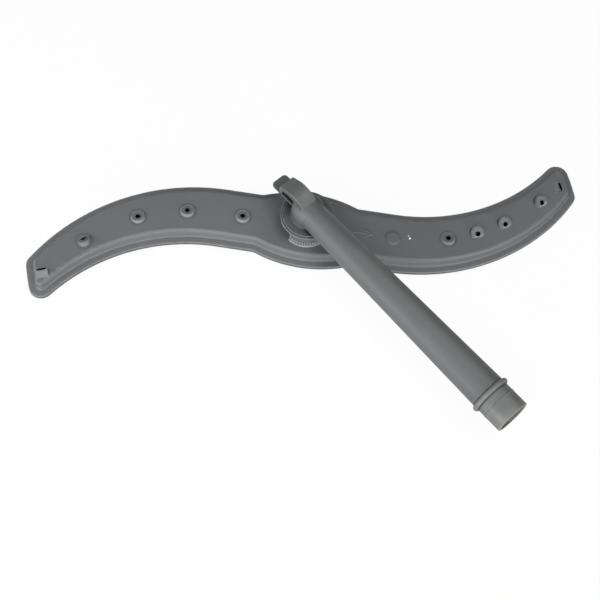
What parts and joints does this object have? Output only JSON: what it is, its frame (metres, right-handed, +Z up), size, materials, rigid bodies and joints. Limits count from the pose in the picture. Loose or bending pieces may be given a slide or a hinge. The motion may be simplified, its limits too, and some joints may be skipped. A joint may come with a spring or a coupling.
{
  "type": "dishwasher spray arm",
  "caption": "S-shaped hollow spray arm with slanted water jets, turning on a barbed spigot under a tapered feed pipe with a plug end and a wire clip",
  "frame": {"origin": "on the arm's spin axis, at the flat underside of the lower shell", "axes": "+Z up along the spin axis; +X along the feed pipe, from the spin axis to the plug; +Y to the pipe's left"},
  "size_m": [0.3659, 0.4152, 0.0632],
  "materials": {
    "pipe_plastic": "satin",
    "arm_plastic": "satin"
  },
  "bodies": {
    "feed_pipe": {"feed_pipe": "pipe_plastic"},
    "spray_arm": {"bearing_nut": "pipe_plastic", "arm_upper_shell": "arm_plastic", "arm_lower_shell": "arm_plastic"}
  },
  "joints": [
    {"name": "arm_spin", "type": "hinge", "parent": "feed_pipe", "child": "spray_arm", "pos_m": [0, 0, 0.0185], "axis": [0, 0, 1], "continuous": true}
  ]
}
